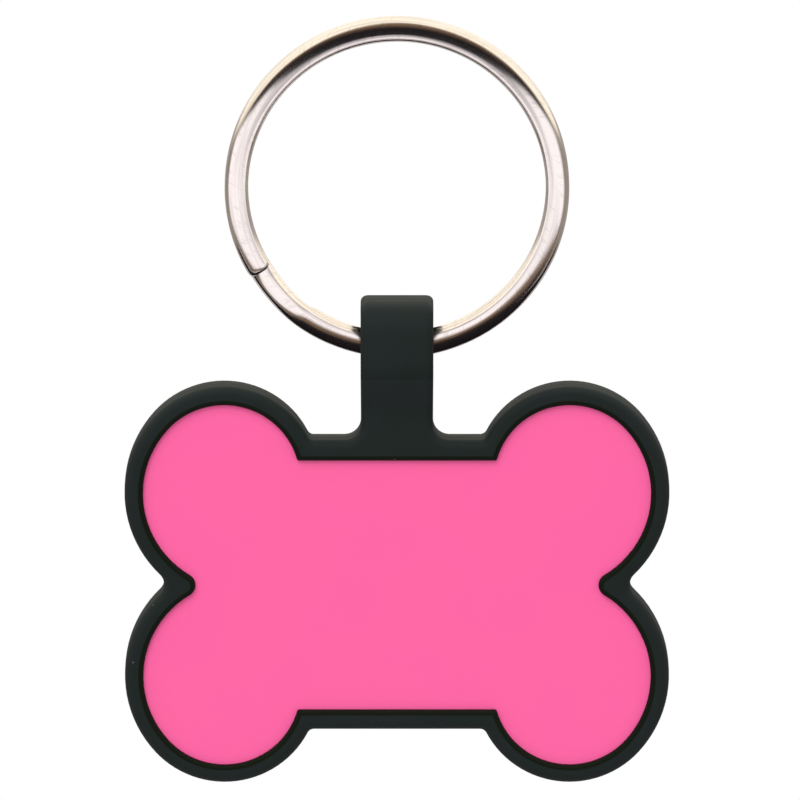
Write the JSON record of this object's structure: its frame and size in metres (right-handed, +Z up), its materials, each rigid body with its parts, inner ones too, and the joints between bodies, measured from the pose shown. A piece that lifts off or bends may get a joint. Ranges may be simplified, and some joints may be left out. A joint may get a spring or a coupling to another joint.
{
  "type": "pet id tag",
  "caption": "Bone-shaped pet identity tag: a blank face plate in a silicone holder whose lug swings on a split ring.",
  "frame": {"origin": "the point the tag hangs from: the inside of the split ring at its top, in the ring's middle plane", "axes": "+Z up, along the hanging tag; -Y out of the face; +X to the right as the face is read"},
  "size_m": [0.0396, 0.006, 0.0564],
  "materials": {
    "nickel_plate": "bright nickel plate over spring steel, with faint drawing lines along the wire",
    "black_silicone": "matte moulded silicone, black with a slight green-grey cast",
    "pink_plate": "satin pink engraving plate, blank"
  },
  "bodies": {
    "ring": {"split_ring": "nickel_plate"},
    "tag": {"silicone_holder": "black_silicone", "face_plate": "pink_plate"}
  },
  "joints": [
    {"name": "tag_swing", "type": "hinge", "parent": "ring", "child": "tag", "pos_m": [0, 0, -0.02245], "axis": [1, 0, 0], "range_deg": [-140, 140]}
  ]
}
